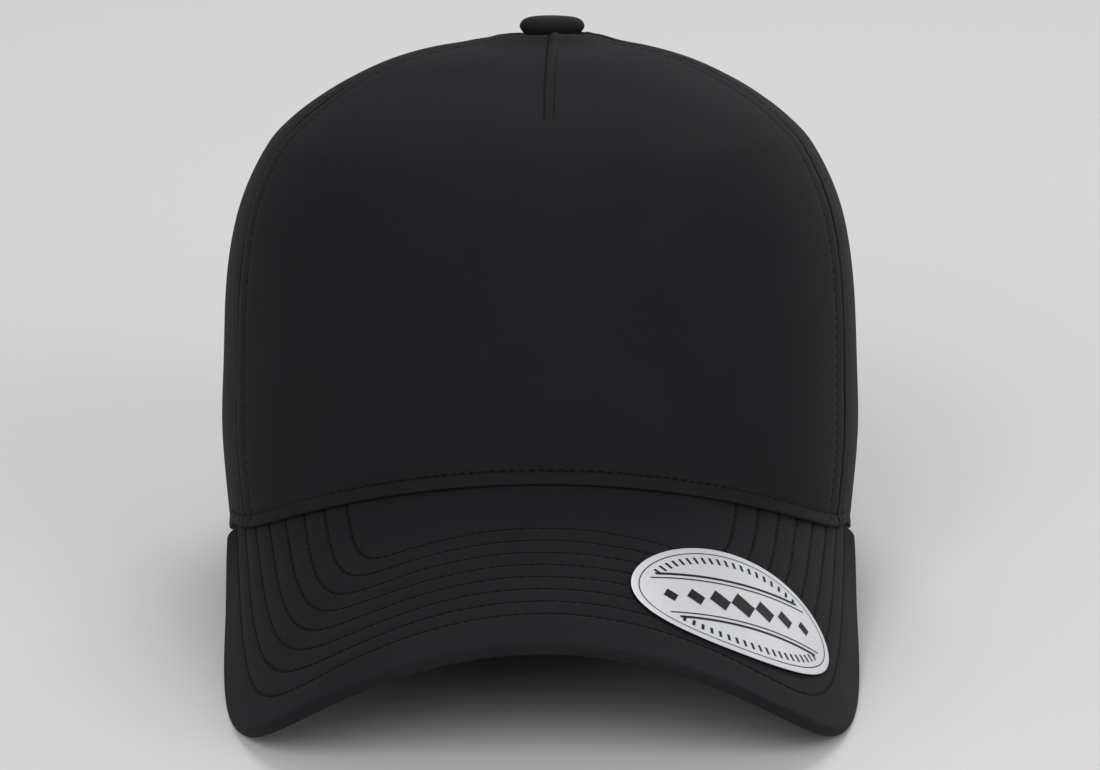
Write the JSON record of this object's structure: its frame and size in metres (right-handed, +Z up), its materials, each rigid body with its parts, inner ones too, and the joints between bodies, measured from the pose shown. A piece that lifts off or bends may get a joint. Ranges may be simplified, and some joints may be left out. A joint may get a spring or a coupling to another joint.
{
  "type": "five panel cap",
  "caption": "Structured cap with a wide front panel, curved stitched visor, covered button and a strap across the open back arch.",
  "frame": {"origin": "centre of the footprint, on the surface that the cap rests on", "axes": "+Z up, the visor points along -Y, +X is on the right of someone who faces the visor"},
  "size_m": [0.1712, 0.2614, 0.1501],
  "materials": {
    "twill": "smooth black polyester twill, fine weave",
    "band_cloth": "soft black cotton band",
    "strap_plastic": "moulded black plastic, satin",
    "silver_foil": "printed silver foil"
  },
  "bodies": {
    "root": {"front_panel": "twill", "side_panel_left": "twill", "side_panel_right": "twill", "back_panel_left": "twill", "back_panel_right": "twill", "visor": "twill", "visor_label": "silver_foil", "sweatband": "band_cloth", "back_strap": "strap_plastic", "button": "twill"}
  },
  "joints": []
}
